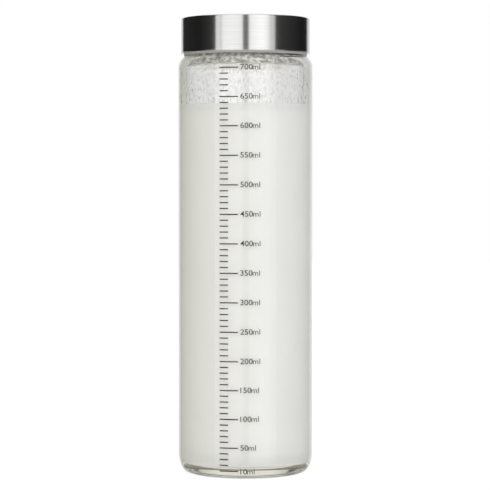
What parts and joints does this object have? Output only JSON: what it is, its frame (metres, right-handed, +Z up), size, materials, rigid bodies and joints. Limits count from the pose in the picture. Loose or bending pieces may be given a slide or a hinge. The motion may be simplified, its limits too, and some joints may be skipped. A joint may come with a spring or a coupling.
{
  "type": "glass bottle of milk",
  "caption": "Tall straight clear glass bottle of milk with a printed volume scale, a narrow rounded shoulder and a thin steel screw lid with a plastic liner.",
  "frame": {"origin": "centre of the ring the bottle stands on, in the plane of the surface under it", "axes": "+Z up along the bottle's axis, -Y towards the viewer, with the printed scale just left of -Y, +X to the viewer's right"},
  "size_m": [0.07, 0.07, 0.2368],
  "materials": {
    "clear_glass": "smooth clear glass",
    "milk": "opaque white liquid",
    "lid_steel": "polished, with a faint brushing round the wall",
    "liner_plastic": "translucent grey plastic",
    "scale_ink": "dark grey print on the glass; only in the dressed model"
  },
  "bodies": {
    "root": {"bottle": "clear_glass", "milk": "milk", "lid_shell": "lid_steel", "lid_liner": "liner_plastic"}
  },
  "joints": []
}
